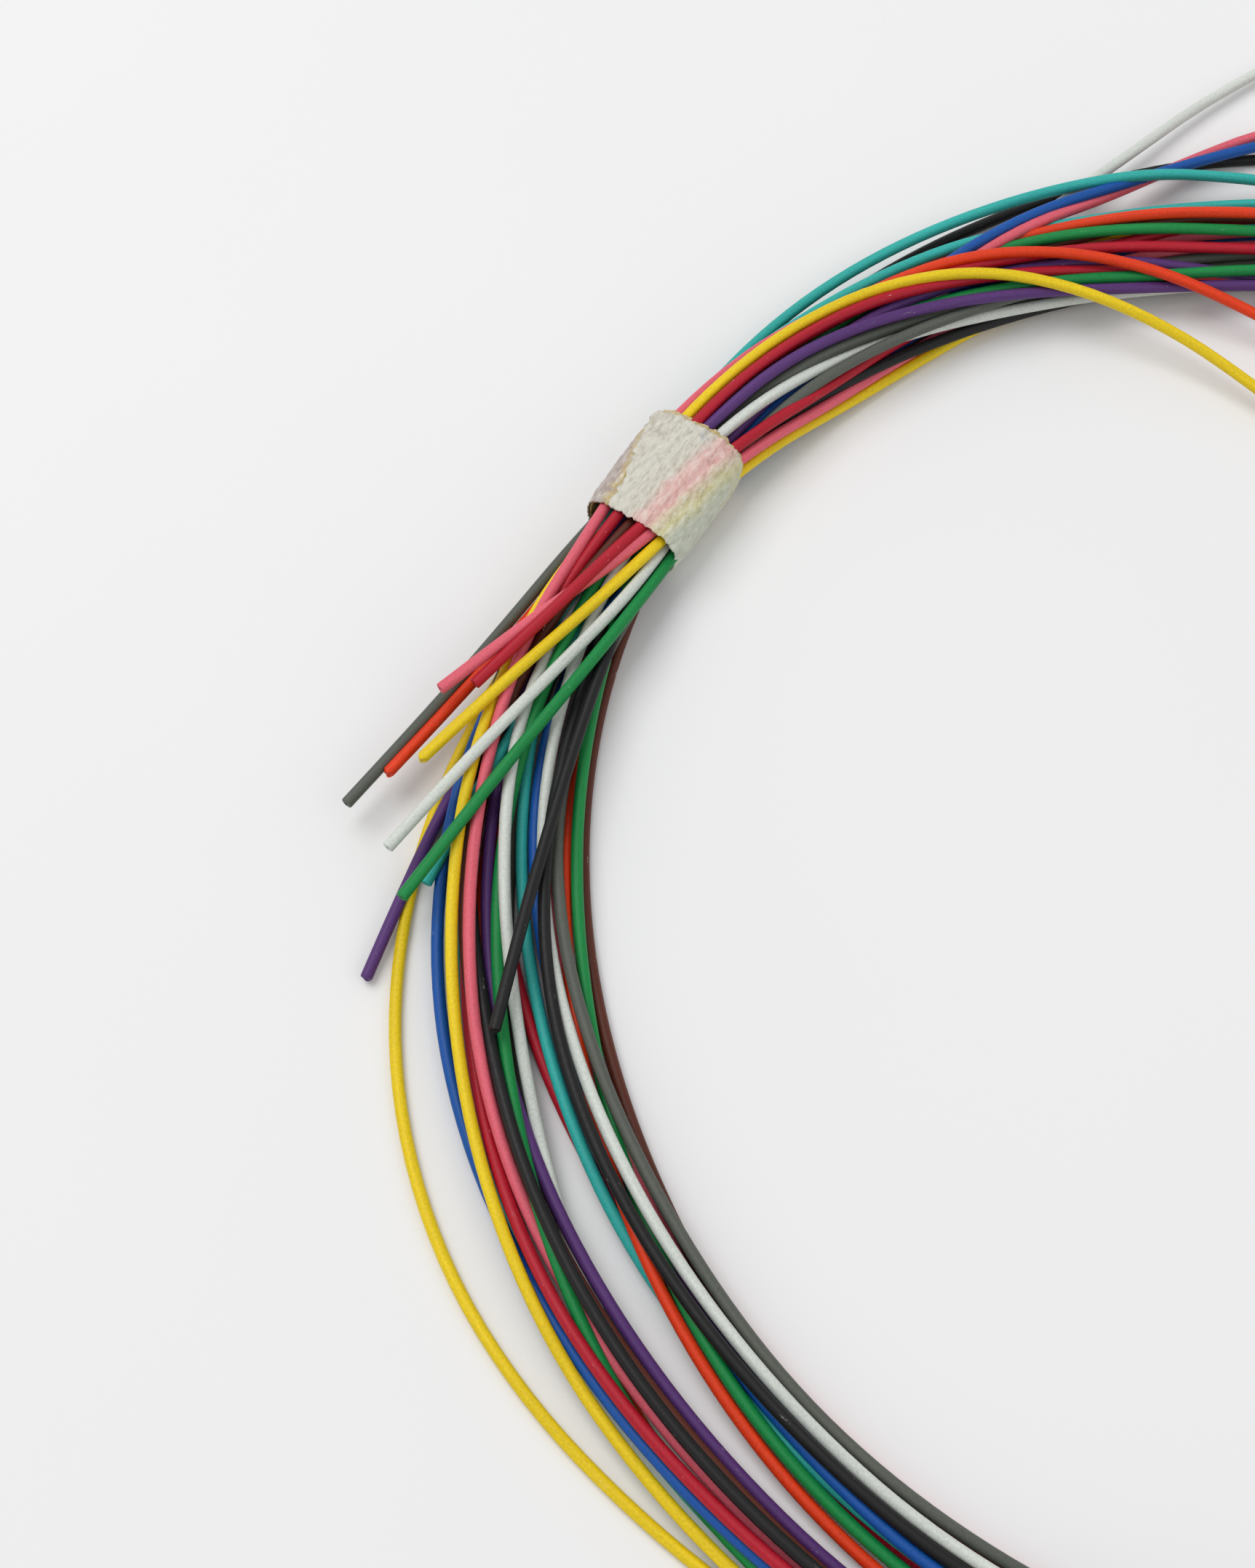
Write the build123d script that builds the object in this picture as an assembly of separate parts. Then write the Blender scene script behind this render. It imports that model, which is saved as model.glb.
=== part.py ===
from build123d import *
import math
import os

import numpy as np

# A ring-shaped coil of twelve colour-coded tight-buffered fibre strands, bound once by masking tape.
# It lies on the plane z = 0. Angles run clockwise from the tape, seen from above, and keep
# counting past 360 as a strand goes round again. Millimetres and degrees.

# Strands
STRAND_D = 0.9
FIBRE_D = 0.25
BORE_D = 0.28
PITCH = 0.96  # least distance between the middles of two strands, with room for the arcs of their paths

# Ring, placed so that the middle of the whole coil's box is on the origin
RING_X, RING_Y = 3.342, -8.727  # the middle of the ring
RING_R = 58.5  # from the middle of the ring to the middle of the taped bundle
TAPE_BEARING = 147.0  # of the tape, counter-clockwise from +X

# Tape: two turns of masking tape wound flat on the bundle
TAPE_WIDTH = 10.0
TAPE_THICK = 0.3
TAPE_INSIDE_W = 7.9
TAPE_INSIDE_H = 5.6
TAPE_CORNER_R = 2.3
TAPE_GAP = 0.05

# Stations of the lists below, in degrees past the tape
OVER_AT = (0, 10, 20, 30, 40, 50, 57)
UNDER_AT = (270, 285, 300, 315, 330, 345)

# Steps of the settling
STEP = 1.875
PER_TURN = 192
POINT_EVERY = 4  # samples from one point of a strand's path to the next
LEVEL = 0.9  # height of one level at the start
STAGGER = 0.08  # added to it strand by strand, so that no two start at one height
ROUNDS = 450
SETTLED = 100  # last rounds, in which the strands no longer sink
SINK = 0.04  # how far a strand sinks in a round
HOLD = 0.25  # how far a strand goes back towards its list in a round
CONTACTS = 6  # times in a round that strands are pushed apart
NEAR_FOR = 5  # rounds between looking for the strands that are near each other
FLARE_R = 18.0  # radius in which the bundle opens out on leaving the tape
TAIL_LIFT = 1.2  # how far above its place, as a share of its height, a tail starts its way down
SIDEWAYS = 0.35  # how much contact moves a strand sideways, against 1 up or down

# Each strand passes the tape three times. Its lists hold, in order:
# "tail": its near cut end and the way from there to the tape, as (angle, radius, height);
# "over": for each pass, its first and last level and then the radius at OVER_AT, just after the tape;
# "under": for each full turn, its first and last level and then the radius at UNDER_AT, coming back;
# "end": its far cut end, as (angle after the third pass, radius).
ROUTES = {
    "yellow": {
        "tail": ((-26.3, 67.4, 4.1), (-6.5, 55.9, 5.0)),
        "over": (
            (4, 1, 54.6, 53.6, 53.2, 54.2, 55.2, 56.0, 56.4),
            (3, 2, 60.6, 60.4, 60.2, 59.8, 59.2, 58.1, 57.2),
            (6, 9, 61.4, 61.0, 60.0, 57.7, 52.9, 45.8, 39.0),
        ),
        "under": ((7, 6, 66.2, 66.0, 65.8, 65.2, 64.0, 62.4), (0, 0, 65.8, 67.8, 70.6, 70.3, 67.2, 63.0)),
        "end": (84, 28.0),
    },
    "red": {
        "tail": ((-20.7, 64.5, 4.4), (-6.2, 56.5, 5.2)),
        "over": (
            (5, 2, 54.8, 54.5, 54.8, 55.5, 56.0, 57.0, 58.0),
            (6, 5, 60.3, 60.0, 59.0, 57.2, 55.2, 53.6, 53.2),
            (3, 6, 59.8, 59.4, 58.8, 58.2, 57.0, 55.2, 53.8),
        ),
        "under": ((7, 1, 64.0, 64.2, 64.8, 64.4, 63.4, 62.5), (0, 3, 58.5, 57.6, 57.5, 60.0, 62.2, 61.5)),
        "end": (110, 58.5),
    },
    "pink": {
        "tail": ((-21.7, 66.9, 4.7), (-5.5, 57.3, 5.4)),
        "over": (
            (4, 1, 55.0, 54.2, 53.8, 54.8, 55.6, 56.0, 56.0),
            (4, 1, 61.6, 60.4, 59.8, 59.4, 58.0, 57.0, 57.0),
            (2, 4, 57.0, 57.0, 57.0, 57.4, 59.3, 63.6, 68.0),
        ),
        "under": ((1, 6, 63.2, 63.6, 64.4, 64.2, 63.2, 62.7), (4, 1, 55.4, 54.9, 56.0, 57.2, 58.0, 59.0)),
        "end": (70.7, 76.0),
    },
    "white": {
        "tail": ((-32.2, 69.0, 3.9), (-7.0, 55.7, 4.7)),
        "over": (
            (1, 1, 56.5, 57.0, 58.0, 59.0, 59.0, 58.8, 58.8),
            (7, 2, 58.0, 57.5, 56.0, 54.6, 53.8, 53.4, 53.6),
            (2, 6, 57.0, 56.5, 56.4, 57.7, 61.0, 67.0, 74.0),
        ),
        "under": ((6, 3, 56.8, 56.2, 56.7, 57.6, 58.3, 58.5), (2, 5, 64.2, 63.8, 62.8, 61.0, 61.3, 61.6)),
        "end": (64, 83.3),
    },
    "green": {
        "tail": ((-35.4, 68.0, 3.5), (-15.5, 56.8, 4.3), (-7.2, 55.3, 4.2)),
        "over": (
            (2, 0, 55.2, 56.2, 57.0, 57.2, 56.8, 56.4, 56.4),
            (3, 5, 58.5, 58.8, 59.0, 59.0, 58.5, 56.3, 55.3),
            (3, 6, 59.5, 59.2, 58.4, 56.2, 53.9, 52.8, 53.0),
        ),
        "under": ((3, 4, 59.6, 58.5, 57.0, 55.8, 56.1, 56.7), (3, 4, 65.4, 65.0, 63.4, 61.6, 61.4, 60.4)),
        "end": (115, 57.5),
    },
    "violet": {
        "tail": ((-39.2, 71.0, 0.6), (-30.0, 66.3, 0.8), (-17.0, 62.4, 1.0), (-6.0, 60.0, 1.4)),
        "over": (
            (0, 0, 60.5, 60.6, 60.2, 59.5, 58.8, 58.0, 57.6),
            (7, 6, 59.7, 59.4, 57.5, 55.1, 53.0, 52.0, 52.2),
            (5, 6, 57.0, 57.2, 57.6, 57.3, 55.9, 53.4, 51.8),
        ),
        "under": ((5, 2, 62.0, 61.5, 62.0, 62.4, 62.4, 62.0), (4, 2, 57.4, 56.8, 57.2, 57.6, 57.6, 57.6)),
        "end": (120, 59.0),
    },
    "grey": {
        "tail": ((-28.9, 72.5, 2.2), (-19.2, 65.7, 2.6), (-10.0, 63.3, 2.6), (-5.0, 61.8, 2.6)),
        "over": (
            (0, 0, 61.0, 60.8, 60.4, 60.0, 59.8, 59.8, 59.6),
            (6, 3, 56.0, 55.6, 55.1, 54.5, 54.3, 54.6, 55.0),
            (6, 3, 58.7, 58.2, 56.6, 54.9, 54.6, 54.8, 55.0),
        ),
        "under": ((6, 3, 55.3, 55.5, 55.3, 56.5, 57.8, 57.4), (0, 1, 64.2, 63.8, 62.6, 61.2, 60.6, 60.4)),
        "end": (104, 56.5),
    },
    "orange": {
        "tail": ((-26.9, 69.9, 2.1), (-18.0, 64.3, 2.0), (-6.0, 61.3, 1.6)),
        "over": (
            (2, 4, 59.2, 59.4, 59.6, 59.8, 60.2, 60.0, 59.5),
            (3, 4, 57.6, 58.4, 59.0, 59.4, 59.0, 57.4, 56.3),
            (1, 8, 60.2, 60.4, 60.2, 59.0, 56.4, 51.6, 47.5),
        ),
        "under": ((6, 1, 60.8, 59.3, 57.9, 57.1, 56.8, 57.2), (0, 0, 63.2, 63.6, 63.6, 63.4, 62.6, 61.6)),
        "end": (79, 39.0),
    },
    "brown": {
        "tail": ((-14.0, 59.8, 1.4), (-6.0, 59.0, 1.6)),
        "over": (
            (1, 1, 59.8, 60.8, 60.4, 60.2, 59.4, 58.6, 58.0),
            (0, 0, 55.6, 55.6, 55.6, 55.6, 55.4, 55.2, 55.4),
            (5, 3, 57.4, 57.6, 58.4, 59.0, 58.2, 57.4, 57.0),
        ),
        "under": ((4, 4, 57.2, 56.2, 55.0, 54.9, 55.3, 55.7), (2, 6, 63.4, 63.2, 63.0, 63.4, 64.0, 61.7)),
        "end": (98, 56.0),
    },
    "blue": {
        "tail": ((-12.0, 58.0, 1.6), (-6.0, 58.2, 1.8)),
        "over": (
            (1, 1, 56.0, 56.2, 56.0, 56.2, 56.6, 57.4, 57.8),
            (1, 1, 60.0, 59.8, 59.2, 58.4, 57.6, 57.0, 56.6),
            (3, 4, 56.8, 56.8, 57.2, 58.6, 60.7, 63.5, 66.5),
        ),
        "under": ((3, 5, 64.2, 64.6, 65.3, 65.9, 64.6, 61.9), (3, 2, 58.6, 57.2, 57.2, 57.4, 58.8, 59.2)),
        "end": (70.5, 73.0),
    },
    "aqua": {
        "tail": ((-33.7, 66.4, 1.6), (-20.0, 61.0, 1.8), (-7.0, 57.6, 2.2)),
        "over": (
            (0, 0, 59.0, 58.8, 58.4, 57.8, 57.2, 56.6, 56.4),
            (4, 5, 60.6, 60.7, 60.8, 60.5, 60.1, 59.0, 58.1),
            (5, 11, 61.9, 62.6, 63.4, 63.8, 63.5, 62.9, 62.8),
        ),
        "under": ((3, 3, 58.2, 57.7, 58.6, 59.2, 59.8, 60.6), (1, 0, 64.8, 64.8, 64.8, 64.8, 64.6, 63.4)),
        "end": (124, 60.0),
    },
    "black": {
        "tail": ((-44.9, 62.5, 3.7), (-38, 59.7, 3.9), (-26, 57, 3.6), (-18, 56.5, 3.1), (-7, 56.4, 2.7)),
        "over": (
            (5, 2, 55.4, 54.9, 54.5, 54.3, 54.6, 55.0, 55.2),
            (4, 4, 60.8, 61.4, 62.2, 63.0, 64.2, 66.0, 67.6),
            (2, 0, 61.8, 61.0, 60.6, 60.2, 59.8, 59.2, 59.0),
        ),
        "under": ((4, 5, 57.5, 57.2, 57.7, 58.5, 58.0, 57.0), (5, 4, 63.2, 63.1, 63.3, 63.3, 63.8, 64.2)),
        "end": (92, 58.0),
    },
}


def chord(angle, near, far):
    """The radius at an angle on the straight line between two polar points."""
    near_at, near_r = map(float, near[:2])
    far_at, far_r = map(float, far[:2])
    whole = math.sin(math.radians(far_at - near_at))
    to_far = math.sin(math.radians(far_at - angle))
    from_near = math.sin(math.radians(angle - near_at))
    return near_r * far_r * whole / (near_r * from_near + far_r * to_far)


def tail_radius(angle, tail):
    """The radius at an angle on the straight pieces of a tail."""
    for near, far in zip(tail, tail[1:]):
        if angle <= far[0]:
            return chord(angle, near, far)
    return tail[-1][1]


def stretch(turn, angles, row):
    """(angle, radius, height) of a strand at the angles of one row of its lists."""
    first, last, *radii = row
    levels = np.linspace(first, last, len(radii))
    heights = STRAND_D / 2 + LEVEL * levels
    return [(360 * turn + at, r, z) for at, r, z in zip(angles, radii, heights)]


def stations(route):
    """(angle, radius, height) of a strand along its three passes, after its tail."""
    rows = []
    for turn, row in enumerate(route["over"]):
        rows += stretch(turn, OVER_AT, row)
        if turn < len(route["under"]):
            rows += stretch(turn, UNDER_AT, route["under"][turn])
    end_at, end_r = route["end"]
    rows.append((360 * (len(route["over"]) - 1) + end_at, end_r, STRAND_D / 2))
    return rows


def smoothed(values, times):
    """A list with each value drawn towards its neighbours."""
    values = values.copy()
    for _ in range(times):
        values[1:-1] = 0.25 * values[:-2] + 0.5 * values[1:-1] + 0.25 * values[2:]
    return values


def aims(route):
    """The sample numbers of a strand, the radius it aims at, its starting height, and which are tail."""
    tail = route["tail"]
    rows = [row for row in tail] + stations(route)
    first = math.floor(tail[0][0] / STEP)
    last = math.ceil(rows[-1][0] / STEP)
    number = np.arange(first, last + 1)
    angle = number * STEP
    in_tail = angle < tail[-1][0]
    radius = np.interp(angle, [row[0] for row in rows], [row[1] for row in rows])
    height = np.interp(angle, [row[0] for row in rows], [row[2] for row in rows])
    round_ring = smoothed(radius, 12)
    straight = [tail_radius(at, tail) if held else r for at, held, r in zip(angle, in_tail, round_ring)]
    return number, smoothed(np.array(straight), 6), smoothed(height, 16), in_tail


def table(rows, blank):
    """Rows of unequal length as one array, filled up with blanks."""
    whole = np.full((len(rows), max(map(len, rows))), blank)
    for line, row in zip(whole, rows):
        line[: len(row)] = row
    return whole


def meetings(number, real):
    """For each sample round the ring, where in the tables the strands are that pass there."""
    passing = [np.flatnonzero(real & (number % PER_TURN == at)) for at in range(PER_TURN)]
    first, second = [], []
    for spots in passing:
        one, other = np.triu_indices(len(spots), 1)
        first.append(spots[one])
        second.append(spots[other])
    return np.concatenate(first), np.concatenate(second)


def eased(values, target, inner, times, share):
    """The table with the kinks in its distance from the target taken out."""
    away = values - target
    for _ in range(times):
        away[:, 1:-1] += np.where(inner, share * (0.5 * (away[:, :-2] + away[:, 2:]) - away[:, 1:-1]), 0)
    return target + away


def settle():
    """Lets the strands sink onto each other and the floor, and gives their angles, radii and heights."""
    strands = [aims(route) for route in ROUTES.values()]
    number = table([s[0] for s in strands], 0)
    aim = table([s[1] for s in strands], RING_R)
    start = table([s[2] for s in strands], 0.0)
    tail = table([s[3] for s in strands], False)
    real = table([np.ones(len(s[0]), bool) for s in strands], False)
    start += STAGGER * (5 * np.arange(len(start)) % len(start))[:, None]
    r, z = aim.copy(), start.copy()
    first, second = meetings(number, real)
    off_tape = np.radians(np.abs((number * STEP + 180) % 360 - 180)) * RING_R - TAPE_WIDTH / 2
    opened = np.maximum(off_tape, 0) ** 2 / (2 * FLARE_R)
    floor = STRAND_D / 2 + np.maximum(TAPE_THICK + TAPE_GAP - opened, 0)
    inner = real[:, :-2] & real[:, 1:-1] & real[:, 2:]
    for count in range(ROUNDS):
        sinking = count < ROUNDS - SETTLED
        if sinking:
            r += np.where(tail, 0.3, HOLD) * (aim - r)
            lifted = start * (1 + TAIL_LIFT * (1 - count / (ROUNDS - SETTLED)))
            z += np.where(tail, 0.3 * (lifted - z), -SINK)
        r = eased(r, aim, inner, 8 if sinking else 4, 0.35 if sinking else 0.2)
        z = eased(z, 0 * z, inner, 8 if sinking else 4, 0.35 if sinking else 0.2)
        r, z = inside_tape(r, z, opened)
        if count % NEAR_FOR == 0:
            apart = np.hypot(r.ravel()[first] - r.ravel()[second], z.ravel()[first] - z.ravel()[second])
            near = apart < 3 * PITCH
        for _ in range(CONTACTS):
            r, z = pushed_apart(r, z, first[near], second[near])
        r, z = inside_tape(r, z, opened)
        z = np.maximum(z, floor)
    return {
        colour: cut_back(route["tail"][0][0], number[k, real[k]] * STEP, r[k, real[k]], z[k, real[k]])
        for k, (colour, route) in enumerate(ROUTES.items())
    }


def cut_back(tip, angles, radii, heights):
    """A strand's samples with the first one moved along it to the angle of its cut end."""
    share = (tip - angles[0]) / STEP
    for values in (angles, radii, heights):
        values[0] += share * (values[1] - values[0])
    return angles, radii, heights


def inside_tape(r, z, opened):
    """Draws the strands into the tape's rounded opening, or past it into one that is wider."""
    middle = TAPE_THICK + TAPE_INSIDE_H / 2
    half_w = (TAPE_INSIDE_W - STRAND_D) / 2 - TAPE_GAP + opened
    half_h = (TAPE_INSIDE_H - STRAND_D) / 2 - TAPE_GAP + opened
    out = (np.abs((r - RING_R) / half_w) ** 2.6 + np.abs((z - middle) / half_h) ** 2.6) ** (1 / 2.6)
    keep = 1 / np.maximum(out, 1)
    return RING_R + (r - RING_R) * keep, middle + (z - middle) * keep


def pushed_apart(r, z, first, second):
    """Moves strands that overlap in a section of the ring away from each other, mostly up and down."""
    slope = np.gradient(r, axis=1).ravel() / (math.radians(STEP) * RING_R)
    crossing = np.hypot(1, slope[first] - slope[second])
    dr = (r.ravel()[first] - r.ravel()[second]) / crossing
    dz = z.ravel()[first] - z.ravel()[second]
    overlap = np.maximum(PITCH - np.hypot(dr, dz), 0)
    push = overlap / 2 / (np.hypot(SIDEWAYS * dr, dz) + 1e-9)
    touching = summed(overlap > 0, first, r.size) + summed(overlap > 0, second, r.size)
    share = 1 / np.maximum(1, 0.6 * touching)
    sideways, up = push * SIDEWAYS * dr, push * dz
    r_move = (summed(sideways, first, r.size) - summed(sideways, second, r.size)) * share
    z_move = (summed(up, first, r.size) - summed(up, second, r.size)) * share
    return r + r_move.reshape(r.shape), z + z_move.reshape(z.shape)


def summed(values, spots, size):
    """The values added up at each spot."""
    return np.bincount(spots, weights=values, minlength=size)


def points_of(angles, radii, heights):
    """Samples of a strand as points in space, with both ends kept."""
    keep = list(range(0, len(angles), POINT_EVERY))
    keep[-1] = len(angles) - 1
    return [
        Vector(
            RING_X + radii[k] * math.cos(math.radians(TAPE_BEARING - angles[k])),
            RING_Y + radii[k] * math.sin(math.radians(TAPE_BEARING - angles[k])),
            heights[k],
        )
        for k in keep
    ]


def bend_radii(points):
    """The largest arc that each corner leaves room for."""
    radii = []
    for before, corner, after in zip(points, points[1:], points[2:]):
        turn = math.radians((corner - before).get_angle(after - corner))
        shorter = min((corner - before).length, (after - corner).length)
        radii.append(0.45 * shorter / math.tan(turn / 2))
    return radii


def rod(path, diameter):
    """A round solid along a path."""
    start = Plane(origin=path @ 0, z_dir=path % 0)
    return sweep(start * Circle(diameter / 2), path=path)


def tube(path, outside, inside):
    """A round tube along a path: the walls of two rods, closed by a ring at each end."""
    outer, inner = rod(path, outside), rod(path, inside)
    faces = outer.faces() + inner.faces()
    walls = [face for face in faces if face.geom_type != GeomType.PLANE]
    discs = inner.faces().filter_by(GeomType.PLANE)
    rings = []
    for face in outer.faces().filter_by(GeomType.PLANE):
        hole = min(discs, key=lambda disc: (disc.center() - face.center()).length)
        rings.append(Face(face.outer_wire(), [hole.outer_wire()]))
    return Solid(Shell(walls + rings))


def tape_band():
    """The tape, with its flat underside on the floor."""
    bearing = math.radians(TAPE_BEARING)
    outward = Vector(math.cos(bearing), math.sin(bearing), 0)
    onward = Vector(math.sin(bearing), -math.cos(bearing), 0)
    outside_h = TAPE_INSIDE_H + 2 * TAPE_THICK
    middle = Vector(RING_X, RING_Y, outside_h / 2) + outward * RING_R
    section = Plane(origin=middle, x_dir=outward, z_dir=onward)
    outside = RectangleRounded(TAPE_INSIDE_W + 2 * TAPE_THICK, outside_h, TAPE_CORNER_R + TAPE_THICK)
    inside = RectangleRounded(TAPE_INSIDE_W, TAPE_INSIDE_H, TAPE_CORNER_R)
    return extrude(section * (outside - inside), TAPE_WIDTH / 2, both=True)


def main():
    os.makedirs("parts", exist_ok=True)
    band = tape_band()
    export_step(band, "parts/masking_tape.step")
    box = band.bounding_box()
    for colour, (angles, radii, heights) in settle().items():
        points = points_of(angles, radii, heights)
        bends = bend_radii(points)
        path = FilletPolyline(*points, radius=bends)
        jacket = tube(path, STRAND_D, BORE_D)
        fibre = rod(path, FIBRE_D)
        export_step(jacket, f"parts/{colour}_jacket.step")
        export_step(fibre, f"parts/{colour}_fibre.step")
        box = box.add(jacket.bounding_box())
        section = math.pi * (STRAND_D**2 - BORE_D**2) / 4
        print(
            f"{colour}: length {path.length:.0f}, bends {min(bends):.0f} to {max(bends):.0f},",
            f"volume {jacket.volume:.1f} of {section * path.length:.1f}, top {max(heights):.1f}",
        )
    print("box", box.min, box.max, "middle", box.center())


main()
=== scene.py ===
"""The looks of a ring-shaped coil of twelve colour-coded fibre strands, bound once by masking tape."""

import math

import bpy
import numpy as np
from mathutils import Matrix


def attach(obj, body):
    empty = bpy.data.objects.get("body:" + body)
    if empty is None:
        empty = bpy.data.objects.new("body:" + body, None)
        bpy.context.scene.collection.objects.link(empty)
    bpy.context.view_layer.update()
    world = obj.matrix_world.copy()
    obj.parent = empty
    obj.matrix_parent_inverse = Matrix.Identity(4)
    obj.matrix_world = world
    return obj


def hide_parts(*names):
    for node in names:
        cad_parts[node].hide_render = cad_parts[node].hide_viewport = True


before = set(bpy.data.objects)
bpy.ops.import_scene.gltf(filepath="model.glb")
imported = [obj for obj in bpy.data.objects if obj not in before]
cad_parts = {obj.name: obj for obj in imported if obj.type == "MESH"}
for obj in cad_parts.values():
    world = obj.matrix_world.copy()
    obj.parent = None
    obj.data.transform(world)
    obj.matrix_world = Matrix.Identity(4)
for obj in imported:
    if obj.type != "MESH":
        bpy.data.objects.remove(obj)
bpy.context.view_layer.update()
MM = 0.001

# The coil lies on the plane z = 0. Angles run clockwise from the tape, seen from above, and keep counting
# past 360 as a strand goes round again. The coil's own numbers are in millimetres and degrees.

# Strands
STRAND_D = 0.9
FIBRE_D = 0.25
BORE_D = 0.28
PITCH = 0.96  # least distance between the middles of two strands, with room for the arcs of their paths

# Ring, placed so that the middle of the whole coil's box is on the origin
RING_X, RING_Y = 3.342, -8.727  # the middle of the ring
RING_R = 58.5  # from the middle of the ring to the middle of the taped bundle
TAPE_BEARING = 147.0  # of the tape, counter-clockwise from +X

# Tape: two turns of masking tape wound flat on the bundle
TAPE_WIDTH = 10.0
TAPE_THICK = 0.3
TAPE_INSIDE_W = 7.9
TAPE_INSIDE_H = 5.6
TAPE_GAP = 0.05

# Stations of the lists below, in degrees past the tape
OVER_AT = (0, 10, 20, 30, 40, 50, 57)
UNDER_AT = (270, 285, 300, 315, 330, 345)

# Steps of the settling
STEP = 1.875  # degrees from one sample to the next
PER_TURN = 192
POINT_EVERY = 4  # samples from one point of a strand's path to the next
RADIUS_SMOOTHING = 12
TAIL_SMOOTHING = 6
LEVEL_SMOOTHING = 16
LEVEL = 0.9  # height of one level at the start
STAGGER = 0.08  # added to it strand by strand, so that no two start at one height
STAGGER_ORDER = 5  # strands from one to the next higher
ROUNDS = 450
SETTLED = 100  # last rounds, in which the strands no longer sink
SINK = 0.04  # how far a strand sinks in a round
HOLD = 0.25  # how far a strand goes back towards its list in a round
TAIL_HOLD = 0.3
EASED_SINKING = (8, 0.35)  # how many times the kinks are eased in a round, and by what share
EASED_SETTLED = (4, 0.2)
CONTACTS = 6  # times in a round that strands are pushed apart
NEAR_FOR = 5  # rounds between looking for the strands that are near each other
NEAR_WITHIN = 3  # pitches
CROWDED = 0.6  # how much less a strand moves for each of the strands that touch it
OPENING_SQUARE = 2.6  # how square the tape's opening is, 2 being an ellipse
FLARE_R = 18.0  # radius in which the bundle opens out on leaving the tape
TAIL_LIFT = 1.2  # how far above its place, as a share of its height, a tail starts its way down
SIDEWAYS = 0.35  # how much contact moves a strand sideways, against 1 up or down
TINY = 1e-9

# The same strands in metres
JACKET_D = STRAND_D * MM
CORE_D = FIBRE_D * MM
BORE = BORE_D * MM
BORE_DEPTH = 1.5 * MM
BORE_LIP = 0.03 * MM
EDGE = 0.02 * MM  # first step of a cut end's rounded edges
ROUNDING = 0.07 * MM
CUT_ZONE = 0.5 * MM  # how far a cut's unevenness reaches along the strand
CORE_INSET = 0.12 * MM
CORE_EDGE = 0.01 * MM
CORE_FACE = (0.4, 0.9)  # rings of its end face, as shares of its radius
JACKET_SIDES = 18
CORE_SIDES = 10
LINE_RESOLUTION = 5

# How each cut end departs from square: its slant, and its raggedness in millimetres
PLAIN_CUT = (0.05, 0.015)
CUTS = {
    "yellow": (0.9, 0.02),
    "orange": (0.5, 0.08),
    "white": (0.1, 0.04),
    "violet": (0.35, 0.03),
    "black": (0.3, 0.02),
}

JACKET_RGB = {
    "yellow": (232, 200, 8),
    "red": (176, 6, 36),
    "pink": (222, 96, 112),
    "white": (208, 213, 206),
    "green": (0, 132, 62),
    "violet": (84, 46, 112),
    "grey": (86, 90, 82),
    "orange": (224, 56, 2),
    "brown": (88, 36, 18),
    "blue": (0, 80, 162),
    "aqua": (44, 174, 166),
    "black": (13, 13, 14),
}
NOISE_RANGE = (0.3, 0.7)  # where most of a soft noise lies
JACKET_ROUGH = (0.42, 0.6)  # from its smoothest grain to its roughest
SCUFFS = {"red": 0.45, "violet": 0.4, "brown": 0.5, "black": 0.25}  # how pale a strand's scuffs are
FAINT_SCUFFS = 0.15  # those of the others
SCUFF_RGB = (225, 222, 215)
DARK_GRAIN = 0.72  # a strand's darkest grain, as a share of its colour
LIGHT_GRAIN = 1.12
LIGHT_LIFT = 0.008
GRAIN_SIZE = 5.0  # grains to a millimetre
GRAIN_DEPTH = 0.012 * MM
STREAK_DEPTH = 0.01 * MM
PLASTIC_SPECULAR = 0.3
GRAIN_SHARE = 0.55  # of the grain in the tone, the rest being streaks
STREAK_SIZE = (0.08, 2.2, 2.2)  # to a millimetre along the strand and across it
PATCH_SIZE = (0.05, 0.4, 0.4)
SCUFF_SIZE = (0.5, 2.6, 2.6)
SHIFT = 137.0  # millimetres between the patterns of two strands
CORE_RGB = ((62, 58, 54), (128, 122, 112))
CORE_ROUGH = (0.1, 0.35)
CORE_CLEAR = 0.35
CORE_IOR = 1.47
CORE_CLOUD = 6.0  # clouds to a millimetre
CORE_DEPTH = 0.004 * MM

# The tape's strip
TAPE_SQUARE = 2.8  # how square its section is, 2 being an ellipse
TAPE_SHEET = 0.12
WRAP_TURNS = 2.3
WRAP_ROWS = 560
WRAP_COLUMNS = 80
WRAP_SEED = 41
WRAP_R = 3.6  # mean radius of the section, to turn its angles into lengths
WRAP_SHIFT = 0.22  # how far each turn lies beside the one below
EDGE_INSET = 0.2  # how much narrower the strip is than the tape's place
CINCH = 0.25  # how much tighter the strip's two edges lie than its middle
TEETH = 8.3  # teeth across the strip
TOOTH_DEGREES = 11
TOOTH_WANDER = 0.3  # how unevenly the teeth are spaced
TORN_WANDER = 2.0  # how far the torn end strays, in degrees
RAG = 0.07  # raggedness of the strip's two long edges
RAG_EDGE = 8  # how closely it keeps to them, as a power
CINCH_EDGE = 5
SHEET_SHARE = 0.85  # of the layers' spacing that the sheet itself takes up
TORN_DEGREES = (54, 30)  # where the torn end starts, and how far it slopes back
SLOPE_FROM = 0.2  # share of the width before the slope starts
CURL = 0.16
CURL_LENGTH = 0.6
LEAST_Z = 0.02
LANES = (0.05, 0.93, 0.12)  # height, spacing and slant of the strands that press through from below
WRINKLE_SHARE = 0.7
WRINKLES = ((2.4, 0.030), (1.1, 0.026), (0.6, 0.020), (0.34, 0.014))  # size and height
WRINKLE_WAVES = 4
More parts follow.
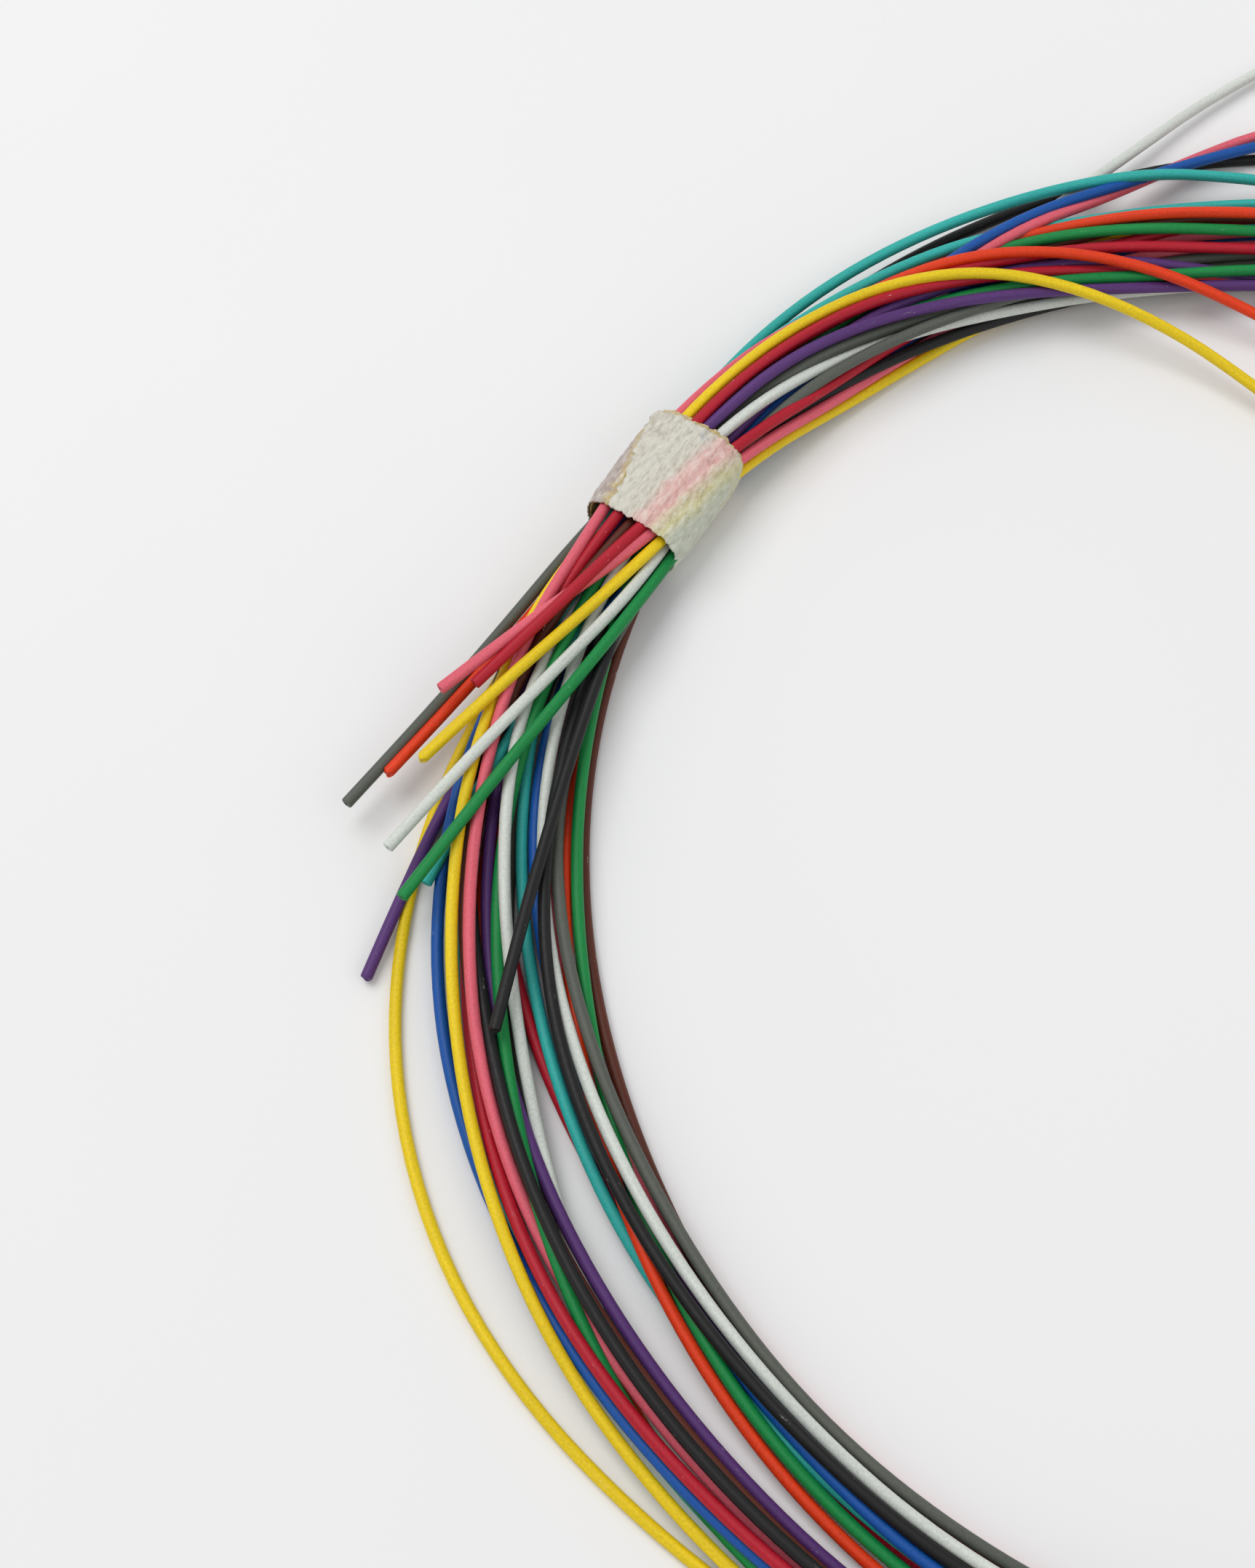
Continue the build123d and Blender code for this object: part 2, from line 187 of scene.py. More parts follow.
STAINS = (
    (0.0, (196, 190, 176)),
    (0.28, (208, 206, 192)),
    (0.49, (206, 200, 186)),
    (0.56, (222, 180, 172)),
    (0.68, (220, 166, 162)),
    (0.74, (214, 194, 166)),
    (0.81, (204, 198, 146)),
    (0.91, (194, 200, 182)),
)

FIBRE_SIZE = (3.2, 1.0, 1.0)  # of the paper, to a millimetre along the strip and across it
SPECK_SIZE = (9.0, 5.0, 1.0)
CLOUD_SIZE = (0.5, 0.35, 1.0)
FIBRE_DEPTH = 0.12 * MM
SPECK_DEPTH = 0.03 * MM
PAPER_ROUGH = (0.28, 0.6)
PAPER_SCATTER = (0.3 * MM, 0.25 * MM, 0.2 * MM)
STAIN_WANDER = 0.16  # how far the stains stray, as a share of the tape's width
STAIN_SLANT = 0.18
SECOND_TURN = (0.76, 0.80)  # turns back from the torn end, where the layer below shows
SMUDGE_RGB = (150, 158, 172)
# painted shade: a tan stripe on the layer below, just beside the torn edge
TORN_EDGE_SHADE_RGB = (196, 172, 112)
MAUVE_RGB = (168, 152, 146)
# paler fibre ridges of the tape: partly the paper's own tone, partly painted highlight (glints)
PALE_GLINT_RGB = (236, 234, 224)
# painted shade in the tape's creases, where the fibre bump dips
CREASE_SHADE_RGB = (150, 142, 124)
SPECK_RGB = (120, 108, 90)

# The studio
CAMERA_AT = (RING_X - 52.0, RING_Y - 72.15, 164.6)
CAMERA_DOWN = 64.0
CAMERA_LENS = 70.96
CAMERA_SENSOR = 36.0
NEAREST = 0.01
FLOOR_SIZE = 6.0
FLOOR_RGB = ((233, 233, 234), (236, 236, 236))
WORLD_STRENGTH = 0.6
SOFTBOXES = (
    ("key_softbox", (-0.35, 0.25, 0.75), 0.55, 3.6),
    ("fill_softbox", (0.55, -0.35, 0.6), 0.6, 0.8),
)

# Each strand passes the tape three times. Its lists hold, in order:
# "tail": its near cut end and the way from there to the tape, as (angle, radius, height);
# "over": for each pass, its first and last level and then the radius at OVER_AT, just after the tape;
# "under": for each full turn, its first and last level and then the radius at UNDER_AT, coming back;
# "end": its far cut end, as (angle after the third pass, radius).
ROUTES = {
    "yellow": {
        "tail": ((-26.3, 67.4, 4.1), (-6.5, 55.9, 5.0)),
        "over": (
            (4, 1, 54.6, 53.6, 53.2, 54.2, 55.2, 56.0, 56.4),
            (2, 1, 60.6, 60.4, 60.2, 59.8, 59.2, 58.1, 57.2),
            (7, 9, 61.2, 61.0, 60.0, 57.7, 52.9, 45.8, 39.0),
        ),
        "under": ((7, 6, 66.2, 66.0, 65.8, 65.0, 63.8, 62.4), (0, 0, 65.8, 67.8, 70.6, 70.3, 67.2, 63.0)),
        "end": (84, 28.0),
    },
    "red": {
        "tail": ((-20.7, 64.5, 4.4), (-6.2, 56.5, 5.2)),
        "over": (
            (5, 2, 54.8, 54.5, 54.8, 55.5, 56.0, 57.0, 58.0),
            (6, 5, 60.3, 60.0, 59.0, 57.2, 55.2, 53.6, 53.2),
            (3, 6, 59.8, 59.4, 58.8, 58.2, 57.0, 55.2, 53.8),
        ),
        "under": ((7, 1, 64.0, 64.2, 64.8, 64.4, 63.4, 62.5), (0, 3, 58.5, 57.6, 57.5, 60.0, 62.2, 61.5)),
        "end": (110, 58.5),
    },
    "pink": {
        "tail": ((-21.7, 66.9, 4.7), (-5.5, 57.3, 5.4)),
        "over": (
            (4, 1, 55.0, 54.2, 53.8, 54.8, 55.6, 56.0, 56.0),
            (4, 1, 61.6, 60.4, 59.8, 59.4, 58.0, 57.0, 57.0),
            (3, 5, 57.0, 57.0, 57.0, 57.4, 59.3, 63.6, 68.0),
        ),
        "under": ((1, 6, 63.2, 63.6, 64.4, 64.2, 63.2, 62.7), (4, 1, 55.4, 54.9, 56.0, 57.2, 58.0, 59.0)),
        "end": (70.7, 76.0),
    },
    "white": {
        "tail": ((-32.2, 69.0, 3.9), (-7.0, 55.7, 4.7)),
        "over": (
            (1, 1, 56.5, 57.0, 58.0, 59.0, 59.0, 58.8, 58.8),
            (7, 2, 58.0, 57.5, 56.0, 54.6, 53.8, 53.4, 53.6),
            (2, 6, 57.0, 56.5, 56.4, 57.7, 61.0, 67.0, 74.0),
        ),
        "under": ((6, 3, 56.8, 56.2, 56.7, 57.6, 58.3, 58.5), (2, 5, 64.2, 63.8, 62.8, 61.0, 61.3, 61.6)),
        "end": (64, 83.3),
    },
    "green": {
        "tail": ((-35.4, 68.0, 3.5), (-15.5, 56.8, 4.3), (-7.2, 55.3, 4.2)),
        "over": (
            (2, 0, 55.2, 56.2, 57.0, 57.2, 56.8, 56.4, 56.4),
            (3, 5, 58.5, 58.8, 59.0, 59.0, 58.5, 56.3, 55.3),
            (3, 6, 59.5, 59.2, 58.4, 56.2, 53.9, 52.8, 53.0),
        ),
        "under": ((3, 4, 59.6, 58.5, 57.0, 55.8, 56.1, 56.7), (3, 4, 65.4, 65.0, 63.4, 61.6, 61.4, 60.4)),
        "end": (115, 57.5),
    },
    "violet": {
        "tail": ((-39.2, 71.0, 0.6), (-30.0, 66.3, 0.8), (-17.0, 62.4, 1.0), (-6.0, 60.0, 1.4)),
        "over": (
            (0, 0, 60.5, 60.6, 60.2, 59.5, 58.8, 58.0, 57.6),
            (5, 6, 59.7, 59.4, 57.5, 55.1, 53.0, 52.0, 52.2),
            (5, 6, 57.0, 57.2, 57.6, 57.3, 55.9, 53.4, 51.8),
        ),
        "under": ((5, 2, 62.0, 61.5, 62.0, 62.4, 62.4, 62.0), (4, 2, 57.4, 56.8, 57.2, 57.6, 57.6, 57.6)),
        "end": (120, 59.0),
    },
    "grey": {
        "tail": ((-28.9, 72.5, 2.2), (-19.2, 65.7, 2.6), (-10.0, 63.3, 2.6), (-5.0, 61.8, 2.6)),
        "over": (
            (0, 0, 61.0, 60.8, 60.4, 60.0, 59.8, 59.8, 59.6),
            (6, 3, 56.0, 55.6, 55.1, 54.5, 54.3, 54.6, 55.0),
            (6, 3, 58.7, 58.2, 56.6, 54.9, 54.6, 54.8, 55.0),
        ),
        "under": ((6, 3, 55.3, 55.5, 55.3, 56.5, 57.8, 57.4), (0, 1, 64.2, 63.8, 62.6, 61.2, 60.6, 60.4)),
        "end": (104, 56.5),
    },
    "orange": {
        "tail": ((-26.9, 69.9, 2.1), (-18.0, 64.3, 2.0), (-6.0, 61.3, 1.6)),
        "over": (
            (2, 4, 59.2, 59.4, 59.6, 59.8, 60.2, 60.0, 59.5),
            (3, 4, 57.6, 58.4, 59.0, 59.4, 59.0, 57.4, 56.3),
            (1, 8, 60.2, 60.4, 60.2, 59.0, 56.4, 51.6, 47.5),
        ),
        "under": ((6, 1, 60.8, 59.3, 57.9, 57.1, 56.8, 57.2), (0, 0, 63.2, 63.6, 63.6, 63.4, 62.6, 61.6)),
        "end": (79, 39.0),
    },
    "brown": {
        "tail": ((-14.0, 59.8, 1.4), (-6.0, 59.0, 1.6)),
        "over": (
            (1, 1, 59.8, 60.8, 60.4, 60.2, 59.4, 58.6, 58.0),
            (0, 0, 55.6, 55.6, 55.6, 55.6, 55.4, 55.2, 55.4),
            (5, 3, 57.4, 57.6, 58.4, 59.0, 58.2, 57.4, 57.0),
        ),
        "under": ((4, 4, 57.2, 56.2, 55.0, 54.9, 55.3, 55.7), (2, 6, 63.4, 63.2, 63.0, 63.4, 64.0, 61.7)),
        "end": (98, 56.0),
    },
    "blue": {
        "tail": ((-12.0, 58.0, 1.6), (-6.0, 58.2, 1.8)),
        "over": (
            (1, 1, 56.0, 56.2, 56.0, 56.2, 56.6, 57.4, 57.8),
            (1, 1, 60.0, 59.8, 59.2, 58.4, 57.6, 57.0, 56.6),
            (3, 5.5, 56.8, 56.8, 57.2, 58.6, 60.7, 63.5, 66.5),
        ),
        "under": ((3, 5, 64.2, 64.6, 65.6, 66.4, 65.4, 62.4), (3, 2, 58.6, 57.2, 57.2, 57.4, 58.8, 59.2)),
        "end": (70.5, 73.0),
    },
    "aqua": {
        "tail": ((-33.7, 66.4, 1.6), (-20.0, 61.0, 1.8), (-7.0, 57.6, 2.2)),
        "over": (
            (0, 0, 59.0, 58.8, 58.4, 57.8, 57.2, 56.6, 56.4),
            (4, 5, 60.6, 60.7, 60.8, 60.5, 60.1, 59.0, 58.1),
            (6, 14, 61.9, 62.6, 63.4, 63.8, 63.5, 62.9, 62.8),
        ),
        "under": ((3, 3, 58.2, 57.7, 58.6, 59.2, 59.8, 60.6), (1, 0, 64.8, 64.8, 64.8, 64.8, 64.6, 63.4)),
        "end": (124, 60.0),
    },
    "black": {
        "tail": ((-44.9, 62.5, 3.7), (-38, 59.7, 3.9), (-26, 57, 3.2), (-18, 56.6, 2.4), (-7, 57.2, 2.0)),
        "over": (
            (4, 2, 56.0, 54.9, 54.5, 54.3, 54.6, 55.0, 55.2),
            (1, 4, 60.8, 61.4, 62.2, 63.0, 64.2, 65.8, 67.0),
            (2, 0, 61.8, 61.0, 60.6, 60.2, 59.8, 59.2, 59.0),
        ),
        "under": ((4, 5, 57.5, 57.2, 57.7, 58.5, 58.0, 57.0), (5, 4, 63.2, 63.1, 63.3, 63.3, 63.8, 64.2)),
        "end": (92, 58.0),
    },
}


# The lie of the strands


def chord(angle, near, far):
    """The radius at an angle on the straight line between two polar points."""
    near_at, near_r = map(float, near[:2])
    far_at, far_r = map(float, far[:2])
    whole = math.sin(math.radians(far_at - near_at))
    to_far = math.sin(math.radians(far_at - angle))
    from_near = math.sin(math.radians(angle - near_at))
    return near_r * far_r * whole / (near_r * from_near + far_r * to_far)


def tail_radius(angle, tail):
    """The radius at an angle on the straight pieces of a tail."""
    for near, far in zip(tail, tail[1:]):
        if angle <= far[0]:
            return chord(angle, near, far)
    return tail[-1][1]


def stretch(turn, angles, row):
    """(angle, radius, height) of a strand at the angles of one row of its lists."""
    first, last, *radii = row
    levels = np.linspace(first, last, len(radii))
    heights = STRAND_D / 2 + LEVEL * levels
    return [(360 * turn + at, r, z) for at, r, z in zip(angles, radii, heights)]


def stations(route):
    """(angle, radius, height) of a strand along its three passes, after its tail."""
    rows = []
    for turn, row in enumerate(route["over"]):
        rows += stretch(turn, OVER_AT, row)
        if turn < len(route["under"]):
            rows += stretch(turn, UNDER_AT, route["under"][turn])
    end_at, end_r = route["end"]
    rows.append((360 * (len(route["over"]) - 1) + end_at, end_r, STRAND_D / 2))
    return rows


def smoothed(values, times):
    """A list with each value drawn towards its neighbours."""
    values = values.copy()
    for _ in range(times):
        values[1:-1] = 0.25 * values[:-2] + 0.5 * values[1:-1] + 0.25 * values[2:]
    return values


def aims(route):
    """The sample numbers of a strand, the radius it aims at, its starting height, and which are tail."""
    tail = route["tail"]
    rows = [*tail, *stations(route)]
    first = math.floor(tail[0][0] / STEP)
    last = math.ceil(rows[-1][0] / STEP)
    number = np.arange(first, last + 1)
    angle = number * STEP
    in_tail = angle < tail[-1][0]
    radius = np.interp(angle, [row[0] for row in rows], [row[1] for row in rows])
    height = np.interp(angle, [row[0] for row in rows], [row[2] for row in rows])
    round_ring = smoothed(radius, RADIUS_SMOOTHING)
    straight = [tail_radius(at, tail) if held else r for at, held, r in zip(angle, in_tail, round_ring)]
    radius = smoothed(np.array(straight), TAIL_SMOOTHING)
    return number, radius, smoothed(height, LEVEL_SMOOTHING), in_tail


def table(rows, blank):
    """Rows of unequal length as one array, filled up with blanks."""
    whole = np.full((len(rows), max(map(len, rows))), blank)
    for line, row in zip(whole, rows):
        line[: len(row)] = row
    return whole


def meetings(number, real):
    """For each sample round the ring, where in the tables the strands are that pass there."""
    passing = [np.flatnonzero(real & (number % PER_TURN == at)) for at in range(PER_TURN)]
    first, second = [], []
    for spots in passing:
        one, other = np.triu_indices(len(spots), 1)
        first.append(spots[one])
        second.append(spots[other])
    return np.concatenate(first), np.concatenate(second)


def eased(values, target, inner, times, share):
    """The table with the kinks in its distance from the target taken out."""
    away = values - target
    for _ in range(times):
        kink = 0.5 * (away[:, :-2] + away[:, 2:]) - away[:, 1:-1]
        away[:, 1:-1] += np.where(inner, share * kink, 0)
    return target + away


def settle():
    """Lets the strands sink onto each other and the floor, and gives their angles, radii and heights."""
    strands = [aims(route) for route in ROUTES.values()]
    number = table([s[0] for s in strands], 0)
    aim = table([s[1] for s in strands], RING_R)
    start = table([s[2] for s in strands], 0.0)
    tail = table([s[3] for s in strands], False)
    real = table([np.ones(len(s[0]), bool) for s in strands], False)
    start += STAGGER * (STAGGER_ORDER * np.arange(len(start)) % len(start))[:, None]
    r, z = aim.copy(), start.copy()
    first, second = meetings(number, real)
    off_tape = np.radians(np.abs((number * STEP + 180) % 360 - 180)) * RING_R - TAPE_WIDTH / 2
    opened = np.maximum(off_tape, 0) ** 2 / (2 * FLARE_R)
    floor = STRAND_D / 2 + np.maximum(TAPE_THICK + TAPE_GAP - opened, 0)
    inner = real[:, :-2] & real[:, 1:-1] & real[:, 2:]
    for count in range(ROUNDS):
        sinking = count < ROUNDS - SETTLED
        if sinking:
            r += np.where(tail, TAIL_HOLD, HOLD) * (aim - r)
            lifted = start * (1 + TAIL_LIFT * (1 - count / (ROUNDS - SETTLED)))
            z += np.where(tail, TAIL_HOLD * (lifted - z), -SINK)
        easing = EASED_SINKING if sinking else EASED_SETTLED
        r = eased(r, aim, inner, *easing)
        z = eased(z, 0 * z, inner, *easing)
        r, z = inside_tape(r, z, opened)
        if count % NEAR_FOR == 0:
            apart = np.hypot(r.ravel()[first] - r.ravel()[second], z.ravel()[first] - z.ravel()[second])
            near = apart < NEAR_WITHIN * PITCH
        for _ in range(CONTACTS):
            r, z = pushed_apart(r, z, first[near], second[near])
        r, z = inside_tape(r, z, opened)
        z = np.maximum(z, floor)
    return {
        colour: cut_back(route["tail"][0][0], number[k, real[k]] * STEP, r[k, real[k]], z[k, real[k]])
        for k, (colour, route) in enumerate(ROUTES.items())
    }


def cut_back(tip, angles, radii, heights):
    """A strand's samples with the first one moved along it to the angle of its cut end."""
    share = (tip - angles[0]) / STEP
    for values in (angles, radii, heights):
        values[0] += share * (values[1] - values[0])
    return angles, radii, heights


def inside_tape(r, z, opened):
    """Draws the strands into the tape's rounded opening, or past it into one that is wider."""
    middle = TAPE_THICK + TAPE_INSIDE_H / 2
    half_w = (TAPE_INSIDE_W - STRAND_D) / 2 - TAPE_GAP + opened
    half_h = (TAPE_INSIDE_H - STRAND_D) / 2 - TAPE_GAP + opened
    beside = np.abs((r - RING_R) / half_w) ** OPENING_SQUARE
    above = np.abs((z - middle) / half_h) ** OPENING_SQUARE
    out = (beside + above) ** (1 / OPENING_SQUARE)
    keep = 1 / np.maximum(out, 1)
    return RING_R + (r - RING_R) * keep, middle + (z - middle) * keep


def pushed_apart(r, z, first, second):
    """Moves strands that overlap in a section of the ring away from each other, mostly up and down."""
    slope = np.gradient(r, axis=1).ravel() / (math.radians(STEP) * RING_R)
    crossing = np.hypot(1, slope[first] - slope[second])
    dr = (r.ravel()[first] - r.ravel()[second]) / crossing
    dz = z.ravel()[first] - z.ravel()[second]
    overlap = np.maximum(PITCH - np.hypot(dr, dz), 0)
    push = overlap / 2 / (np.hypot(SIDEWAYS * dr, dz) + TINY)
    touching = summed(overlap > 0, first, r.size) + summed(overlap > 0, second, r.size)
    share = 1 / np.maximum(1, CROWDED * touching)
    sideways, up = push * SIDEWAYS * dr, push * dz
    r_move = (summed(sideways, first, r.size) - summed(sideways, second, r.size)) * share
    z_move = (summed(up, first, r.size) - summed(up, second, r.size)) * share
    return r + r_move.reshape(r.shape), z + z_move.reshape(z.shape)


def summed(values, spots, size):
    """The values added up at each spot."""
    return np.bincount(spots, weights=values, minlength=size)


def points_of(angles, radii, heights):
    """Samples of a strand as points in space, in metres, with both ends kept."""
    keep = list(range(0, len(angles), POINT_EVERY))
    keep[-1] = len(angles) - 1
    bearing = np.radians(TAPE_BEARING - angles[keep])
    x = RING_X + radii[keep] * np.cos(bearing)
    y = RING_Y + radii[keep] * np.sin(bearing)
    return np.column_stack([x, y, heights[keep]]) * MM


# Meshes


def nurbs(name, points):
    """An open NURBS curve with these control points."""
    curve = bpy.data.curves.new(name, "CURVE")
    curve.dimensions = "3D"
    curve.resolution_u = LINE_RESOLUTION
    spline = curve.splines.new("NURBS")
    spline.points.add(len(points) - 1)
    for point, place in zip(spline.points, points):
        point.co = (*place, 1)
    spline.order_u = 3
    spline.use_endpoint_u = True
    return curve


def line_of(curve):
    """The points of a curve's line, in order."""
    bare = bpy.data.objects.new("bare_line", curve)
    mesh = bpy.data.meshes.new_from_object(bare)
    line = np.array([v.co for v in mesh.vertices])
    bpy.data.objects.remove(bare)
    bpy.data.meshes.remove(mesh)
    return line


def unit(vectors):
    """The vectors at length one."""
    return vectors / np.linalg.norm(vectors, axis=-1, keepdims=True)


def frames(line):
    """Tangents, and two sides that don't twist, at each point of a line."""
    steps = unit(np.diff(line, axis=0))
    tangent = unit(np.vstack([steps[:1], steps[:-1] + steps[1:], steps[-1:]]))
    side = np.zeros_like(line)
    side[0] = unit(np.cross(tangent[0], (0, 0, 1)))
    for k in range(1, len(line)):
        side[k] = unit(side[k - 1] - tangent[k] * np.dot(side[k - 1], tangent[k]))
    return tangent, side, np.cross(tangent, side)


def grid_faces(rows, columns, closed):
    """The quads of a grid of points whose columns meet again if it is closed."""
    across = columns if closed else columns - 1
    row, column = np.meshgrid(np.arange(rows - 1), np.arange(across), indexing="ij")
    a = row * columns + column
    b = row * columns + (column + 1) % columns
    return np.stack([a, b, b + columns, a + columns], axis=-1).reshape(-1, 4)


def mesh_piece(name, points, faces, material):
    """A smooth mesh piece of the coil, in the scene and riding on it."""
    mesh = bpy.data.meshes.new(name)
    mesh.from_pydata(points.tolist(), [], [tuple(face) for face in faces])
    mesh.shade_smooth()
    mesh.materials.append(material)
    piece = bpy.data.objects.new(name, mesh)
    bpy.context.scene.collection.objects.link(piece)
    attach(piece, "root")
    return piece


def give(piece, name, values):
    """Stores a vector at each point of a piece, for its material to read."""
    attribute = piece.data.attributes.new(name, "FLOAT_VECTOR", "POINT")
    attribute.data.foreach_set("vector", np.asarray(values, np.float32).ravel())


def turned(line, rings, sides, rough_end, rng):
    """A surface of rings round a line.

    A ring is (place along the line, inset, radius, end). Its end says which cut end's unevenness moves it:
    0 for none, -1 for the near end's and 1 for the far end's.
    """
    tangent, side, up = frames(line)
    angle = np.arange(sides) * 2 * math.pi / sides
    around = np.stack([np.cos(angle), np.sin(angle)], axis=1)
    slant, rag = rough_end
    tear = rag * rng.uniform(-1, 1, sides)
    points, coordinates = [], []
    along = np.concatenate([[0], np.cumsum(np.linalg.norm(np.diff(line, axis=0), axis=1))])
    for at, inset, radius, end in rings:
        outward = around[:, :1] * side[at] + around[:, 1:] * up[at]
        ring = line[at] + tangent[at] * inset + radius * outward
        if end:
            uneven = slant * radius * around[:, 0] + tear
            ring = ring - end * tangent[at] * np.abs(uneven)[:, None]
        points.append(ring)
        coordinates.append(np.column_stack([np.full(sides, along[at] + inset), radius * around]))
    return np.concatenate(points), np.concatenate(coordinates), grid_faces(len(rings), sides, True)


def both_ends(near, radius, count):
    """The rings of one cut end, a plain ring at each point between, and the other cut end's."""
    body = [(k, 0, radius, 0) for k in range(1, count - 1)]
    far = [(count - 1, -inset, size, -end) for _, inset, size, end in reversed(near)]
    return near + body + far


def jacket_rings(count):
    """The rings of a jacket: down from inside its bore, over its near cut face, along it and back in."""
    near = [
        (0, BORE_DEPTH, BORE / 2, 0),
        (0, BORE_LIP, BORE / 2, -1),
        (0, 0, BORE / 2 + EDGE, -1),
        (0, 0, JACKET_D / 2 - ROUNDING, -1),
        (0, EDGE, JACKET_D / 2 - EDGE, -1),
        (0, ROUNDING, JACKET_D / 2, -1),
        (0, CUT_ZONE, JACKET_D / 2, 0),
    ]
    return both_ends(near, JACKET_D / 2, count)


def core_rings(count):
    """The rings of a fibre core, a little way inside the jacket's cut ends."""
    near = [(0, CORE_INSET, share * CORE_D / 2, 0) for share in CORE_FACE]
    near.append((0, CORE_INSET + CORE_EDGE, CORE_D / 2, 0))
    return both_ends(near, CORE_D / 2, count)


def make_strand(colour, route, number):
    """A strand's jacket and its core, along the smooth line of its route."""
    angles, radii, heights = route
    points = points_of(angles, radii, heights)
    line = line_of(nurbs(colour + "_route", points))
    rng = np.random.default_rng(number)
    slant, rag = CUTS.get(colour, PLAIN_CUT)
    rings = jacket_rings(len(line))
    surface, coordinates, faces = turned(line, rings, JACKET_SIDES, (slant, rag * MM), rng)
    plastic = jacket_material(colour, number)
    jacket = mesh_piece(colour + "_strand", surface, faces, plastic)
    give(jacket, "strand_place", coordinates)
    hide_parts(colour + "_jacket")
    surface, _, faces = turned(line, core_rings(len(line)), CORE_SIDES, (0, 0), rng)
    near_cap = tuple(range(CORE_SIDES))[::-1]
    far_cap = tuple(range(len(surface) - CORE_SIDES, len(surface)))
    faces = [*faces.tolist(), near_cap, far_cap]
    core = mesh_piece(colour + "_core", surface, faces, core_material())
    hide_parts(colour + "_fibre")


# Materials


def linear(red, green, blue):
    """A colour given as 0 to 255, as the shaders take it."""
    shares = [value / 255 for value in (red, green, blue)]
    return [s / 12.92 if s <= 0.04045 else ((s + 0.055) / 1.055) ** 2.4 for s in shares] + [1.0]


class Nodes:
    """A new material's nodes, made and joined one by one."""

    def __init__(self, name):
        self.material = bpy.data.materials.new(name)
        self.material.use_nodes = True
        self.tree = self.material.node_tree
        self.shader = self.tree.nodes["Principled BSDF"]

    def put(self, socket, value):
        """Joins a socket to what feeds it, or sets its value."""
        if isinstance(value, bpy.types.NodeSocket):
            self.tree.links.new(value, socket)
        else:
            socket.default_value = value

    def place(self, name):
        """The vector stored at each point under this name."""
        node = self.tree.nodes.new("ShaderNodeAttribute")
        node.attribute_name = name
        return node.outputs["Vector"]

    def changed(self, operation, vector, numbers):
        """The vector with its parts changed by three numbers."""
        node = self.tree.nodes.new("ShaderNodeVectorMath")
        node.operation = operation
        self.put(node.inputs[0], vector)
        node.inputs[1].default_value = numbers
        return node.outputs[0]

    def scaled(self, vector, scale):
        """The vector with its parts multiplied by three numbers."""
        return self.changed("MULTIPLY", vector, scale)

    def noise(self, vector, scale, detail=2.0, rough=0.5):
        """Soft noise from 0 to 1."""
        node = self.tree.nodes.new("ShaderNodeTexNoise")
        self.put(node.inputs["Vector"], vector)
        node.inputs["Scale"].default_value = scale
        node.inputs["Detail"].default_value = detail
        node.inputs["Roughness"].default_value = rough
        return node.outputs["Fac"]

    def math(self, operation, one, other):
        """Arithmetic on two numbers."""
        node = self.tree.nodes.new("ShaderNodeMath")
        node.operation = operation
        self.put(node.inputs[0], one)
        self.put(node.inputs[1], other)
        return node.outputs[0]

    def spread(self, value, low, high, to_low=0.0, to_high=1.0):
        """A number moved from one range to another, and kept in it."""
        node = self.tree.nodes.new("ShaderNodeMapRange")
        self.put(node.inputs["Value"], value)
        limits = {"From Min": low, "From Max": high, "To Min": to_low, "To Max": to_high}
        for name, number in limits.items():
            node.inputs[name].default_value = number
        return node.outputs["Result"]

    def mix(self, share, one, other):
        """Two colours mixed."""
        node = self.tree.nodes.new("ShaderNodeMix")
        node.data_type = "RGBA"
        self.put(node.inputs[0], share)
        self.put(node.inputs[6], one)
        self.put(node.inputs[7], other)
        return node.outputs[2]

    def ramp(self, value, stops):
        """The colour at a place along some stops."""
        node = self.tree.nodes.new("ShaderNodeValToRGB")
        self.put(node.inputs["Fac"], value)
        ramp = node.color_ramp
        while len(ramp.elements) < len(stops):
            ramp.elements.new(0.5)
        for element, (at, colour) in zip(ramp.elements, stops):
            element.position = at
            element.color = linear(*colour)
        return node.outputs["Color"]

    def bump(self, height, distance, strength=1.0, under=None):
        """A normal roughened by a height."""
        node = self.tree.nodes.new("ShaderNodeBump")
        self.put(node.inputs["Height"], height)
        node.inputs["Distance"].default_value = distance
        node.inputs["Strength"].default_value = strength
        if under is not None:
            self.put(node.inputs["Normal"], under)
        return node.outputs["Normal"]

    def finish(self, **values):
        """Feeds the shader, and gives the material."""
        for name, value in values.items():
            self.put(self.shader.inputs[name.replace("_", " ")], value)
        return self.material


